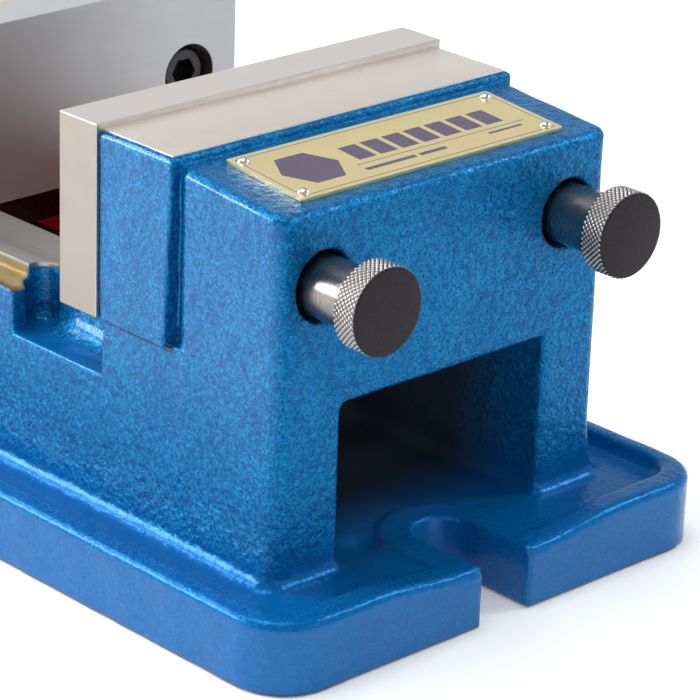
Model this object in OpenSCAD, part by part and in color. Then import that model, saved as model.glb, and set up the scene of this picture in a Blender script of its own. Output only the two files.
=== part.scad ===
// Machine vise, 5-inch class: one bed casting with an integral fixed jaw, a screw-driven moving jaw
// with angular pull-down, ground jaw plates and two knurled draw screws behind the fixed plate.
// Frame: X across, Y along the vise towards the fixed jaw, Z up. The origin is on the underside of
// the base, at the middle of the base's length and width. All dimensions are in millimetres.

/* [Jaws] */
// Width of both jaw plates
jaw_w = 130; // [128:1:134]
// Thickness of both jaw plates
jaw_t = 16; // [15:0.5:17]
// Height of the jaw plates' top edge above the table
jaw_top = 131; // [129:1:133]
// Opening between the jaw plates as drawn
opening = 74.8; // [60:0.1:90]
// Spacing of the plate screws and of the draw screws
screw_pitch_x = 92.3; // [88:0.1:96]

/* [Base] */
// Width of the base flange
base_w = 169; // [166:1:176]
// Length of the base flange
base_l = 440; // [438:1:442]
// Height of the gutter floor above the table
floor_z = 17; // [16:0.5:18]
// Height of the rim around the gutter
rim_z = 21.4; // [20.5:0.1:23]
// Width of the rim along both sides
rim_w = 6.5; // [6:0.5:8]
// Width of the rim across both ends
end_rim_w = 9; // [8:0.5:11]
// Corner radius of the base flange
corner_r = 17; // [12:1:20]
// Width of the two open bolt slots
slot_w = 18.5; // [17:0.5:19]

/* [Bed] */
// Height of the ground ways above the table
way_z = 74.5; // [74:0.1:74.6]
// Clear width between the two ways
way_gap = 62.6; // [62:0.2:64]
// Overall width across the two ways
way_outer = 104.8; // [103:0.2:106]
// Width of the bed casting above the flange
bed_w = 123.8; // [122:0.2:125]
// Width of the tunnel below the ways
tunnel_w = 78.2; // [76:0.2:80]

/* [Drive] */
// Height of the lead screw axis above the table
screw_z = 44; // [43.5:0.5:44.5]
// Outer diameter of the lead screw thread
screw_d = 24; // [23:0.5:25]
// Length of the crank arm between its two axes
crank_r = 105; // [95:1:115]
// Number of balls in the thrust bearing
ball_count = 12; // [8:1:12]

/* [Hidden] */

round_fn = 64;
small_fn = 32;
fit_gap = 0.05;
rest_gap = 0.3;
cut = 1;

base_y = base_l / 2;
jaw_y = base_y - 99;
plate_z = way_z + rest_gap;
plate_h = jaw_top - plate_z;
pad_z = jaw_top - 1.8;
pad_depth = 28.7;
shoulder_w = bed_w + 4.4;
shoulder_l = 30.6;
rear_y = jaw_y + 71.9;
bed_front_y = -base_y + 61;
shelf_z = way_z - 4.2;
rail_under_z = way_z - 16.5;
tunnel_top_z = 65.7;
slot_y = base_y - 24.6;
block_r = 4;
foot_out = 3;
foot_top_z = 36;

// Half widths of the rim's ramp beside a bolt slot, and its low end above the gutter floor
ramp_out = 48;
ramp_in = 12;
ramp_low = 1.2;

// Neck behind the shoulder of the fixed jaw
neck_in = 3.4;
neck_end = 27;
neck_run = 11;
shoulder_slant = 2.9;

// Run-out relief beside the fixed jaw plate, and the drilled end it starts from
relief_in = 48.6;
relief_l = 39.5;
relief_end = 1.2;
relief_floor_z = 56.8;
relief_hole_x = 51.5;
relief_hole_d = 10.4;

// Alignment keyways of the underside
key_w = 16;
key_l = 32;
key_d = 5;
key_y = 140;
key_cross_x = 46;
key_cross_y = 72;
key_screw_d = 6;
key_hole_z = 12;

top_slope = 5;
top_drop_y = jaw_y + pad_depth;
top_drop_z = jaw_top - 4.5;
rear_top_z = top_drop_z - (rear_y - top_drop_y) * tan(top_slope);

draw_z = 101.2;
draw_hole_d = 20.6;
draw_shank_d = 17.5;
draw_thread_d = 16;
draw_head_d = 25;
draw_head_t = 8;
draw_head_y = jaw_y + 88;
draw_thread_l = 11;
draw_mouth_l = 30;
seal_d = 1.3;

name_w = 98.2;
name_l = 30.9;
name_t = 1;
name_inset = 3.5;
name_y = top_drop_y + 21.4;
name_screw_d = 2;
name_head_r = 2;

moving_face_y = jaw_y - jaw_t - opening;
moving_back_y = moving_face_y - jaw_t;
moving_l = 81;
moving_front_y = moving_back_y - moving_l;
tongue_w = way_gap - 0.2;
tongue_z = rail_under_z - 0.4;

nut_w = 41;
nut_l = 46;
nut_y = moving_back_y - 39.2;
nut_low_z = screw_z - 20;
nut_top_z = tongue_z - 0.6;
lug_w = 30;
lug_top_z = 88;
lug_back_y = nut_y - 20;
ball_r = 13;
ball_y = nut_y + 8;
ball_z = 72;
ball_seat = 5;
pocket_w = 34;
pocket_top_z = 93;
crown_l = 14;
crown_z = 108;
nose_z = 96;
set_screw_z = 78;
set_screw_d = 10;

plate_screw_d = 10;
plate_sink_d = 19.2;
plate_sink_l = 12.6;
plate_screw_l = 26;
keeper_screw_d = 6;
keeper_screw_l = 17;
keeper_screw_x = 26;
keeper_screw_ys = [moving_back_y - 64, moving_back_y - 16];
keeper_t = 8;
keeper_gap = 1.2;
oiler_x = 44;
oiler_y = moving_back_y - 46;
oiler_d = 6;
oiler_slope = (top_drop_z - crown_z) / (moving_l - crown_l - pad_depth);
oiler_z = top_drop_z - (moving_back_y - pad_depth - oiler_y) * oiler_slope;
wiper_x = 41.5;
wiper_w = 20;
wiper_t = 4;
wiper_felt_h = 6;
wiper_screw_d = 4;
wiper_screw_x = 9;
wiper_screw_z = way_z + 12;

support_t = 24;
support_y = bed_front_y - support_t;
support_w = 112;
support_h = 52;
support_r = 6;
support_screw_d = 8;
support_screw_l = 34;
support_screw_x = 48;
support_screw_zs = [26, 58];
support_sink_l = 8.4;
bush_d = 26;
drain_x = base_w / 2 - rim_w - 8;
drain_y = -base_y + 30;
drain_d = 10;
journal_d = 20;
collar_d = 36;
collar_t = 5;
race_t = 2.5;
cage_t = 4;
race_d = 35;
ball_d = cage_t;
ball_pcd = 28;
thrust_y = bed_front_y + rest_gap;
collar_y = thrust_y + 2 * race_t + cage_t + 3 * fit_gap;
screw_end_y = jaw_y - 36;
screw_core_d = screw_d - 4;
stop_d = screw_d + 2;
stop_t = 2;
hex_af = 17;
neck_d = 16;
lock_d = 34;
lock_l = 12;
lock_y = support_y - rest_gap - lock_l;
lock_screw_d = 6;
hub_d = 36;
hub_l = 24;
hub_y = -base_y - 2 - hub_l;
arm_t = 13;
arm_tip_d = 24;
crank_z = screw_z + crank_r;
grip_l = 84;
grip_gap = 1.2;
spindle_d = 10;
spindle_end_d = spindle_d - 2;
grip_d = 26;

// Flat plan shapes

module rounded_rect(w, l, r) {
    union() {
        square([w - 2 * r, l], center = true);
        square([w, l - 2 * r], center = true);
        for (sx = [-1, 1], sy = [-1, 1])
            translate([sx * (w / 2 - r), sy * (l / 2 - r)])
                circle(r = r, $fn = round_fn);
    }
}

// Extrudes a (y, z) outline across the vise, centred on X = 0
module across(w) {
    translate([-w / 2, 0, 0])
        rotate([90, 0, 90])
            linear_extrude(w)
                children();
}

// Extrudes an (x, z) outline along +Y from y0
module along(y0, l) {
    translate([0, y0 + l, 0])
        rotate([90, 0, 0])
            linear_extrude(l)
                children();
}

// Plain rod along +Y from y0
module rod_y(x, y0, z, d, l) {
    translate([x, y0, z])
        rotate([-90, 0, 0])
            cylinder(d = d, h = l, $fn = round_fn);
}

module hex_rod_y(x, y0, z, af, l) {
    translate([x, y0, z])
        rotate([-90, 0, 0])
            cylinder(d = af / cos(30), h = l, $fn = 6);
}

module block(x0, x1, y0, y1, z0, z1) {
    translate([x0, y0, z0])
        cube([x1 - x0, y1 - y0, z1 - z0]);
}

// Socket head cap screw: seat of the head at z = 0, head above, shank below
module cap_screw(d, l) {
    head_d = 1.5 * d;
    difference() {
        union() {
            cylinder(d = head_d, h = d - 0.4, $fn = small_fn);
            translate([0, 0, d - 0.4])
                cylinder(d1 = head_d, d2 = head_d - 0.8, h = 0.4, $fn = small_fn);
            translate([0, 0, -l])
                cylinder(d = d, h = l, $fn = small_fn);
        }
        translate([0, 0, d * 0.45])
            cylinder(d = d * 0.8 / cos(30), h = d, $fn = 6);
    }
}

// Bed casting with the fixed jaw

module flange() {
    linear_extrude(floor_z)
        rounded_rect(base_w, base_l, corner_r);
    difference() {
        linear_extrude(rim_z)
            rounded_rect(base_w, base_l, corner_r);
        translate([0, 0, floor_z - cut])
            linear_extrude(rim_z)
                rounded_rect(base_w - 2 * rim_w, base_l - 2 * end_rim_w, corner_r - rim_w);
        // The rim runs down towards each bolt slot
        for (y0 = [-base_y - cut, base_y - end_rim_w - cut])
            along(y0, end_rim_w + 2 * cut)
                polygon([
                    [-ramp_out, rim_z + cut], [-ramp_out, rim_z], [-ramp_in, floor_z + ramp_low],
                    [ramp_in, floor_z + ramp_low], [ramp_out, rim_z], [ramp_out, rim_z + cut]
                ]);
    }
}

module rear_block_plan() {
    half = bed_w / 2;
    neck = half - neck_in;
    end_y = jaw_y + neck_end;
    union() {
        polygon([
            [-neck, jaw_y], [neck, jaw_y], [neck, end_y], [half, end_y + neck_run],
            [half, rear_y - block_r], [half - block_r, rear_y], [-half + block_r, rear_y],
            [-half, rear_y - block_r], [-half, end_y + neck_run], [-neck, end_y]
        ]);
        for (s = [-1, 1])
            translate([s * (half - block_r), rear_y - block_r])
                circle(r = block_r, $fn = round_fn);
    }
}

module fixed_jaw_block() {
    // Shoulder behind the plate, topped by the ground pad
    across(shoulder_w)
        polygon([
            [jaw_y, plate_z], [jaw_y + shoulder_l - shoulder_slant, plate_z],
            [jaw_y + shoulder_l, pad_z], [jaw_y, pad_z]
        ]);
    // Rear block with its sloping top
    intersection() {
        linear_extrude(pad_z)
            rear_block_plan();
        across(bed_w + 2 * cut)
            polygon([
                [jaw_y, 0], [rear_y + cut, 0], [rear_y + cut, rear_top_z - cut * tan(top_slope)],
                [top_drop_y, top_drop_z], [jaw_y, top_drop_z]
            ]);
    }
}

module bed_blank() {
    half = bed_w / 2;
    way = way_outer / 2;
    corner_y = rear_y - block_r;
    union() {
        flange();
        block(-half, half, bed_front_y, corner_y, 0, shelf_z);
        block(-half + block_r, half - block_r, corner_y - cut, rear_y, 0, shelf_z);
        for (s = [-1, 1])
            translate([s * (half - block_r), corner_y, 0])
                cylinder(r = block_r, h = shelf_z, $fn = round_fn);
        // The side walls spread towards the gutter
        along(bed_front_y, corner_y - bed_front_y)
            polygon([
                [-half - foot_out, floor_z - cut], [half + foot_out, floor_z - cut],
                [half, foot_top_z], [-half, foot_top_z]
            ]);
        block(-way, way, bed_front_y, jaw_y + cut, shelf_z - cut, way_z);
        block(-half, half, jaw_y, jaw_y + neck_end + neck_run, shelf_z - cut, plate_z);
        fixed_jaw_block();
    }
}

// Run-out relief where the machined shelf ends beside the fixed jaw plate
module side_relief() {
    y1 = jaw_y - relief_end;
    y0 = y1 - relief_l;
    block(relief_in, bed_w / 2 + cut, y0, y1, relief_floor_z, way_z + cut);
    translate([relief_hole_x, y0, relief_floor_z])
        cylinder(d = relief_hole_d, h = way_z + cut - relief_floor_z, $fn = round_fn);
}

module bolt_slot() {
    translate([0, slot_y, -cut])
        cylinder(d = slot_w, h = rim_z + 2 * cut, $fn = round_fn);
    block(-slot_w / 2, slot_w / 2, slot_y, base_y + cut, -cut, rim_z + cut);
}

module keyways() {
    for (s = [-1, 1]) {
        translate([0, s * key_y, key_d / 2 - cut / 2])
            cube([key_w, key_l, key_d + cut], center = true);
        translate([s * key_cross_x, key_cross_y, key_d / 2 - cut / 2])
            cube([key_l, key_w, key_d + cut], center = true);
        for (p = [[0, s * key_y], [s * key_cross_x, key_cross_y]])
            translate([p[0], p[1], 0])
                cylinder(d = key_screw_d, h = key_hole_z, $fn = small_fn);
    }
}

module body_casting() {
    half = tunnel_w / 2;
    way_end_y = jaw_y - 20;
    guide_l = rear_y - jaw_y - draw_mouth_l + cut;
    color([0.16, 0.42, 0.66])
        difference() {
            bed_blank();
            // Tunnel below the ways, open at both ends
            block(-half, half, bed_front_y - cut, way_end_y, floor_z, rail_under_z);
            block(-half, half, way_end_y - rest_gap, rear_y + cut, floor_z, tunnel_top_z);
            // Slot between the ways
            block(-way_gap / 2, way_gap / 2, bed_front_y - cut, way_end_y, floor_z, way_z + cut);
            side_relief();
            mirror([1, 0, 0])
                side_relief();
            bolt_slot();
            mirror([0, 1, 0])
                bolt_slot();
            keyways();
            // Draw screw holes: wide mouth, then the guide bore
            for (s = [-1, 1]) {
                x = s * screw_pitch_x / 2;
                rod_y(x, rear_y - draw_mouth_l, draw_z, draw_hole_d, draw_mouth_l + cut);
                rod_y(x, jaw_y - cut, draw_z, draw_shank_d + 2 * fit_gap, guide_l + cut);
            }
            // Tapped holes for the screw support, drains and nameplate
            for (s = [-1, 1]) {
                for (z = support_screw_zs)
                    rod_y(s * support_screw_x, bed_front_y - cut, z, support_screw_d + 2 * fit_gap,
                        support_screw_l - support_t + support_sink_l + 2 * cut);
                translate([s * drain_x, drain_y, 0])
                    cylinder(d = drain_d + 2 * fit_gap, h = floor_z + cut, $fn = small_fn);
            }
            nameplate_frame()
                nameplate_corners()
                    translate([0, 0, -6])
                        cylinder(d = name_screw_d + 2 * fit_gap, h = 7, $fn = small_fn);
        }
}

module fixed_jaw_plate() {
    color([0.78, 0.76, 0.72])
        difference() {
            block(-jaw_w / 2, jaw_w / 2, jaw_y - jaw_t, jaw_y - 0.02, plate_z, jaw_top);
            for (s = [-1, 1])
                rod_y(s * screw_pitch_x / 2, jaw_y - draw_thread_l - 1.5, draw_z,
                    draw_thread_d + 2 * fit_gap, draw_thread_l + 2.5);
        }
}

// Draw screws and their seals

module draw_screw(x) {
    shank_y = jaw_y + 2;
    color([0.17, 0.16, 0.16])
        union() {
            rod_y(x, jaw_y - draw_thread_l, draw_z, draw_thread_d, draw_thread_l + 3);
            rod_y(x, shank_y, draw_z, draw_shank_d, draw_head_y - shank_y + cut);
            translate([x, draw_head_y, draw_z])
                rotate([-90, 0, 0])
                    rotate_extrude($fn = round_fn)
                        polygon([
                            [0, 0], [draw_head_d / 2 - 0.6, 0], [draw_head_d / 2, 0.6],
                            [draw_head_d / 2, draw_head_t - 0.6],
                            [draw_head_d / 2 - 0.6, draw_head_t], [0, draw_head_t]
                        ]);
        }
}

module draw_screw_left() {
    draw_screw(screw_pitch_x / 2);
}

module draw_screw_right() {
    draw_screw(-screw_pitch_x / 2);
}

module draw_seal(x) {
    color([0.08, 0.08, 0.08])
        translate([x, rear_y - 20, draw_z])
            rotate([-90, 0, 0])
                rotate_extrude($fn = round_fn)
                    translate([draw_shank_d / 2 + fit_gap + seal_d / 2, 0])
                        circle(d = seal_d, $fn = small_fn);
}

module draw_seal_left() {
    draw_seal(screw_pitch_x / 2);
}

module draw_seal_right() {
    draw_seal(-screw_pitch_x / 2);
}

// Nameplate on the sloping top of the fixed jaw

module nameplate_frame() {
    translate([0, name_y, top_drop_z - (name_y - top_drop_y) * tan(top_slope)])
        rotate([-top_slope, 0, 0])
            translate([0, 0, 0.02])
                children();
}

module nameplate_corners() {
    for (sx = [-1, 1], sy = [-1, 1])
        translate([sx * (name_w / 2 - name_inset), sy * (name_l / 2 - name_inset), 0])
            children();
}

module nameplate() {
    color([0.85, 0.74, 0.42])
        nameplate_frame()
            difference() {
                linear_extrude(name_t)
                    rounded_rect(name_w, name_l, 0.8);
                nameplate_corners()
                    translate([0, 0, -cut])
                        cylinder(d = name_screw_d + 0.2, h = name_t + 2 * cut, $fn = small_fn);
            }
}

module nameplate_screws() {
    color([0.75, 0.75, 0.74])
        nameplate_frame()
            nameplate_corners()
                union() {
                    translate([0, 0, -5])
                        cylinder(d = name_screw_d, h = 5 + name_t + 0.1, $fn = small_fn);
                    translate([0, 0, name_t + 0.02])
                        rotate_extrude($fn = small_fn)
                            intersection() {
                                translate([0, -name_head_r + 1.1])
                                    circle(r = name_head_r + 0.15, $fn = small_fn);
                                square([name_head_r, 1.3]);
                            }
                }
}

// Moving jaw group

module moving_profile() {
    y1 = moving_back_y - 0.02;
    polygon([
        [moving_front_y, way_z + fit_gap], [y1, way_z + fit_gap], [y1, pad_z],
        [y1 - pad_depth, pad_z], [y1 - pad_depth, top_drop_z],
        [moving_front_y + crown_l, crown_z], [moving_front_y, nose_z]
    ]);
}

module moving_jaw() {
    color([0.16, 0.42, 0.66])
        difference() {
            union() {
                across(bed_w)
                    moving_profile();
                // Tongue between the ways
                block(-tongue_w / 2, tongue_w / 2, moving_front_y + 4, moving_back_y - 1,
                    tongue_z, way_z + cut);
                // Skirts outside the ways
                for (s = [-1, 1])
                    block(min(s * bed_w / 2, s * (way_outer / 2 + rest_gap)),
                        max(s * bed_w / 2, s * (way_outer / 2 + rest_gap)),
                        moving_front_y, moving_back_y - 0.02, shelf_z + 0.4, way_z + cut);
            }
            // Pocket for the lug of the nut, with the seat side sloping under the half ball
            across(pocket_w)
                polygon([
                    [lug_back_y - 2, tongue_z - cut],
                    [ball_y + ball_seat * sqrt(2) + tongue_z - cut - ball_z, tongue_z - cut],
                    [ball_y + ball_seat * sqrt(2) + 7, ball_z + 7],
                    [ball_y + 20, ball_z + 7], [ball_y + 20, pocket_top_z],
                    [lug_back_y - 2, pocket_top_z]
                ]);
            translate([0, ball_y, ball_z])
                sphere(r = ball_r + 0.1, $fn = round_fn);
            // Relief that passes over the thrust collar at full opening
            block(-collar_d / 2 - 2, collar_d / 2 + 2, moving_front_y, lug_back_y,
                tongue_z - cut, screw_z + collar_d / 2 + 2);
            // Set screw, plate screws, keeper screws, oilers and wiper screws
            rod_y(0, moving_front_y - cut, set_screw_z, set_screw_d + 2 * fit_gap,
                lug_back_y - moving_front_y);
            for (s = [-1, 1]) {
                rod_y(s * screw_pitch_x / 2, moving_back_y - plate_screw_l, draw_z,
                    plate_screw_d + 2 * fit_gap, plate_screw_l + cut);
                for (y = keeper_screw_ys)
                    translate([s * keeper_screw_x, y, tongue_z - cut])
                        cylinder(d = keeper_screw_d + 2 * fit_gap, h = keeper_screw_l, $fn = small_fn);
                for (x = [wiper_x - wiper_screw_x, wiper_x + wiper_screw_x])
                    rod_y(s * x, moving_front_y - cut, wiper_screw_z,
                        wiper_screw_d + 2 * fit_gap, 9 + cut);
                translate([s * oiler_x, oiler_y, way_z + 15]) {
                    cylinder(d = oiler_d + 2 * fit_gap, h = 60, $fn = small_fn);
                    translate([0, 0, oiler_z - way_z - 15.2])
                        cylinder(d = 2 * oiler_d, h = 20, $fn = small_fn);
                }
            }
        }
}

module moving_jaw_plate() {
    color([0.78, 0.76, 0.72])
        difference() {
            block(-jaw_w / 2, jaw_w / 2, moving_back_y, moving_face_y, plate_z, jaw_top);
            for (x = [-screw_pitch_x / 2, screw_pitch_x / 2]) {
                rod_y(x, moving_back_y - cut, draw_z, plate_screw_d + 1, jaw_t + 2 * cut);
                rod_y(x, moving_face_y - plate_sink_l, draw_z, plate_sink_d, plate_sink_l + cut);
            }
        }
}

module jaw_plate_screws() {
    color([0.14, 0.14, 0.15])
        for (s = [-1, 1])
            translate([s * screw_pitch_x / 2, moving_face_y - plate_sink_l + 0.02, draw_z])
                rotate([-90, 0, 0])
                    cap_screw(plate_screw_d, plate_screw_l);
}

module angular_nut() {
    color([0.55, 0.53, 0.5])
        difference() {
            union() {
                block(-nut_w / 2, nut_w / 2, nut_y - nut_l / 2, nut_y + nut_l / 2, nut_low_z, nut_top_z);
                // Lug whose sloping face carries the half ball
                across(lug_w)
                    polygon([
                        [lug_back_y, nut_top_z - cut],
                        [ball_y + nut_top_z - cut - ball_z, nut_top_z - cut],
                        [ball_y + lug_top_z - ball_z, lug_top_z],
                        [lug_back_y, lug_top_z]
                    ]);
            }
            rod_y(0, nut_y - nut_l / 2 - cut, screw_z, screw_d + 2 * fit_gap, nut_l + 2 * cut);
        }
}

module half_ball() {
    color([0.7, 0.7, 0.72])
        translate([0, ball_y, ball_z])
            rotate([-135, 0, 0])
                difference() {
                    sphere(r = ball_r, $fn = round_fn);
                    translate([-2 * ball_r, -2 * ball_r, 0.05 - 4 * ball_r])
                        cube(4 * ball_r);
                }
}

module jaw_set_screw() {
    tip_y = lug_back_y - 0.05;
    tail_y = moving_front_y + 1;
    color([0.14, 0.14, 0.15])
        difference() {
            rod_y(0, tail_y, set_screw_z, set_screw_d, tip_y - tail_y);
            hex_rod_y(0, tail_y - cut, set_screw_z, set_screw_d / 2, 7);
        }
}

module keeper(s) {
    inner = nut_w / 2 + keeper_gap;
    outer = tunnel_w / 2 - keeper_gap;
    color([0.5, 0.5, 0.52])
        difference() {
            block(min(s * inner, s * outer), max(s * inner, s * outer),
                keeper_screw_ys[0] - 8, keeper_screw_ys[1] + 8, tongue_z - keeper_t, tongue_z - 0.02);
            for (y = keeper_screw_ys)
                translate([s * keeper_screw_x, y, 0]) {
                    cylinder(d = keeper_screw_d + 0.6, h = way_z, $fn = small_fn);
                    translate([0, 0, tongue_z - keeper_t - cut])
                        cylinder(d = 1.6 * keeper_screw_d, h = 5.4, $fn = small_fn);
                }
        }
}

module keeper_left() {
    keeper(1);
}

module keeper_right() {
    keeper(-1);
}

module keeper_screws() {
    color([0.14, 0.14, 0.15])
        for (s = [-1, 1], y = keeper_screw_ys)
            translate([s * keeper_screw_x, y, tongue_z - 3.62])
                mirror([0, 0, 1])
                    cap_screw(keeper_screw_d, keeper_screw_l);
}

module oilers() {
    color([0.8, 0.68, 0.35])
        for (s = [-1, 1])
            translate([s * oiler_x, oiler_y, oiler_z])
                difference() {
                    union() {
                        translate([0, 0, -9])
                            cylinder(d = oiler_d, h = 10, $fn = small_fn);
                        cylinder(d = 1.5 * oiler_d, h = 2.1, $fn = small_fn);
                    }
                    translate([0, 0, 0.6])
                        cylinder(d = oiler_d / 2, h = 3, $fn = small_fn);
                }
}

module wiper_felts() {
    color([0.35, 0.33, 0.3])
        for (s = [-1, 1])
            block(s * wiper_x - wiper_w / 2, s * wiper_x + wiper_w / 2,
                moving_front_y - wiper_t, moving_front_y - 0.02,
                way_z + 0.02, way_z + wiper_felt_h);
}

module wiper_holders() {
    half = wiper_w / 2 + 2;
    color([0.7, 0.71, 0.72])
        difference() {
            for (s = [-1, 1])
                block(s * wiper_x - half, s * wiper_x + half, moving_front_y - wiper_t - 1.6,
                    moving_front_y - 0.02, way_z + 1, way_z + 17);
            for (s = [-1, 1]) {
                block(s * wiper_x - half - cut, s * wiper_x + half + cut,
                    moving_front_y - wiper_t - fit_gap, moving_front_y + cut,
                    way_z, way_z + wiper_felt_h + fit_gap);
                for (x = [wiper_x - wiper_screw_x, wiper_x + wiper_screw_x])
                    rod_y(s * x, moving_front_y - 10, wiper_screw_z, wiper_screw_d + 0.4, 12);
            }
        }
}

module wiper_screws() {
    color([0.75, 0.75, 0.74])
        for (s = [-1, 1], x = [wiper_x - wiper_screw_x, wiper_x + wiper_screw_x])
            translate([s * x, moving_front_y - wiper_t - 1.62, wiper_screw_z])
                rotate([90, 0, 0])
                    cap_screw(wiper_screw_d, 12);
}

// Lead screw and its front bearing

module lead_screw() {
    collar_end_y = collar_y + collar_t;
    thread_end_y = screw_end_y - 5;
    color([0.6, 0.6, 0.61])
        union() {
            // Drive hexagon for the crank, then a neck that clears the nut of the front table bolt
            hex_rod_y(0, hub_y + 2, screw_z, hex_af - 2 * fit_gap, hub_l);
            rod_y(0, hub_y + hub_l, screw_z, neck_d, lock_y - hub_y - hub_l + cut);
            rod_y(0, lock_y, screw_z, journal_d, collar_y - lock_y + cut);
            rod_y(0, collar_y, screw_z, collar_d, collar_t);
            rod_y(0, collar_end_y - cut, screw_z, screw_d, thread_end_y - collar_end_y + cut);
            rod_y(0, thread_end_y - cut, screw_z, screw_core_d, screw_end_y - thread_end_y + cut);
        }
}

module stop_ring() {
    color([0.2, 0.2, 0.21])
        difference() {
            rod_y(0, screw_end_y - 4.9, screw_z, stop_d, stop_t);
            rod_y(0, screw_end_y - 6, screw_z, screw_core_d + 2 * fit_gap, stop_t + 2);
            block(-1.5, 1.5, screw_end_y - 6, screw_end_y, screw_z, screw_z + stop_d);
        }
}

module thrust_race(y) {
    color([0.72, 0.73, 0.75])
        difference() {
            rod_y(0, y, screw_z, race_d, race_t);
            rod_y(0, y - cut, screw_z, journal_d + 2 * fit_gap, race_t + 2 * cut);
        }
}

module thrust_race_front() {
    thrust_race(thrust_y);
}

module thrust_race_rear() {
    thrust_race(thrust_y + race_t + cage_t + 2 * fit_gap);
}

module around_screw(y) {
    for (k = [0 : ball_count - 1])
        translate([0, y, screw_z])
            rotate([0, k * 360 / ball_count, 0])
                translate([ball_pcd / 2, 0, 0])
                    children();
}

module thrust_cage() {
    y0 = thrust_y + race_t + fit_gap + 0.8;
    color([0.8, 0.68, 0.35])
        difference() {
            rod_y(0, y0, screw_z, race_d - 1, cage_t - 1.6);
            rod_y(0, thrust_y, screw_z, journal_d + 1, 2 * race_t + cage_t);
            around_screw(thrust_y)
                rod_y(0, 0, 0, ball_d + 2 * fit_gap, 2 * race_t + cage_t);
        }
}

module thrust_balls() {
    color([0.85, 0.85, 0.87])
        around_screw(thrust_y + race_t + fit_gap + cage_t / 2)
            sphere(d = ball_d, $fn = small_fn);
}

module screw_support() {
    z0 = floor_z + rest_gap;
    color([0.16, 0.42, 0.66])
        difference() {
            along(support_y, support_t - 0.02)
                union() {
                    translate([0, z0 + support_h / 2])
                        rounded_rect(support_w, support_h, support_r);
                    translate([-support_w / 2, z0])
                        square([support_w, 2 * support_r]);
                }
            rod_y(0, support_y - cut, screw_z, bush_d + 2 * fit_gap, support_t + 2 * cut);
            for (s = [-1, 1], z = support_screw_zs) {
                rod_y(s * support_screw_x, support_y - cut, z, support_screw_d + 1, support_t + 2 * cut);
                rod_y(s * support_screw_x, support_y - cut, z, 1.5 * support_screw_d + 1,
                    support_sink_l + cut);
            }
        }
}

module support_screws() {
    color([0.14, 0.14, 0.15])
        for (s = [-1, 1], z = support_screw_zs)
            translate([s * support_screw_x, support_y + support_sink_l - 0.02, z])
                rotate([90, 0, 0])
                    cap_screw(support_screw_d, support_screw_l);
}

module support_bush() {
    color([0.72, 0.55, 0.28])
        difference() {
            rod_y(0, support_y + 0.2, screw_z, bush_d, support_t - 0.4);
            rod_y(0, support_y - cut, screw_z, journal_d + 2 * fit_gap, support_t + 2 * cut);
        }
}

module lock_collar() {
    color([0.2, 0.2, 0.21])
        difference() {
            rod_y(0, lock_y, screw_z, lock_d, lock_l);
            rod_y(0, lock_y - cut, screw_z, journal_d + 2 * fit_gap, lock_l + 2 * cut);
            translate([0, lock_y + lock_l / 2, screw_z])
                cylinder(d = lock_screw_d + 2 * fit_gap, h = lock_d, $fn = small_fn);
        }
}

module collar_set_screw() {
    color([0.14, 0.14, 0.15])
        translate([0, lock_y + lock_l / 2, screw_z])
            difference() {
                translate([0, 0, journal_d / 2 + fit_gap])
                    cylinder(d = lock_screw_d, h = 6, $fn = small_fn);
                translate([0, 0, journal_d / 2 + 3])
                    cylinder(d = lock_screw_d / 2 / cos(30), h = 6, $fn = 6);
            }
}

module drain_plugs() {
    color([0.14, 0.14, 0.15])
        for (s = [-1, 1])
            translate([s * drain_x, drain_y, 0])
                difference() {
                    translate([0, 0, 2])
                        cylinder(d = drain_d, h = floor_z - 2.4, $fn = small_fn);
                    translate([0, 0, floor_z - 5])
                        cylinder(d = drain_d / 2 / cos(30), h = 6, $fn = 6);
                }
}

// Crank

module crank_arm() {
    root = hub_d / 2 - 2;
    tip = arm_tip_d / 2 - 2;
    color([0.2, 0.2, 0.21])
        difference() {
            union() {
                rod_y(0, hub_y, screw_z, hub_d, hub_l);
                rod_y(0, hub_y, crank_z, arm_tip_d, arm_t);
                along(hub_y, arm_t)
                    polygon([
                        [-root, screw_z + 6], [root, screw_z + 6], [tip, crank_z], [-tip, crank_z]
                    ]);
            }
            hex_rod_y(0, hub_y - cut, screw_z, hex_af + 0.02, hub_l + 2 * cut);
            rod_y(0, hub_y - cut, crank_z, spindle_end_d + 2 * fit_gap, arm_t + 2 * cut);
        }
}

module grip_spindle() {
    y0 = hub_y - grip_gap - grip_l - 0.6;
    color([0.7, 0.7, 0.71])
        union() {
            rod_y(0, y0, crank_z, spindle_d, hub_y - y0 - 0.05);
            rod_y(0, hub_y - cut, crank_z, spindle_end_d, arm_t);
            rod_y(0, y0 - 4, crank_z, spindle_d + 6, 4);
        }
}

module grip_washer() {
    color([0.72, 0.73, 0.75])
        difference() {
            rod_y(0, hub_y - 1.05, crank_z, 2 * spindle_d, 1);
            rod_y(0, hub_y - 2, crank_z, spindle_d + 2 * fit_gap, 3);
        }
}

module crank_grip() {
    y0 = hub_y - grip_gap - grip_l - 0.2;
    color([0.12, 0.12, 0.13])
        translate([0, y0, crank_z])
            rotate([-90, 0, 0])
                difference() {
                    rotate_extrude($fn = round_fn)
                        polygon([
                            [0, 0], [8, 0], [10.5, 3], [grip_d / 2, 18], [grip_d / 2, 40],
                            [10, 72], [9.5, grip_l - 4], [11, grip_l], [0, grip_l]
                        ]);
                    translate([0, 0, -cut])
                        cylinder(d = spindle_d + 2 * fit_gap, h = grip_l + 2 * cut, $fn = round_fn);
                }
}

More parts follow.
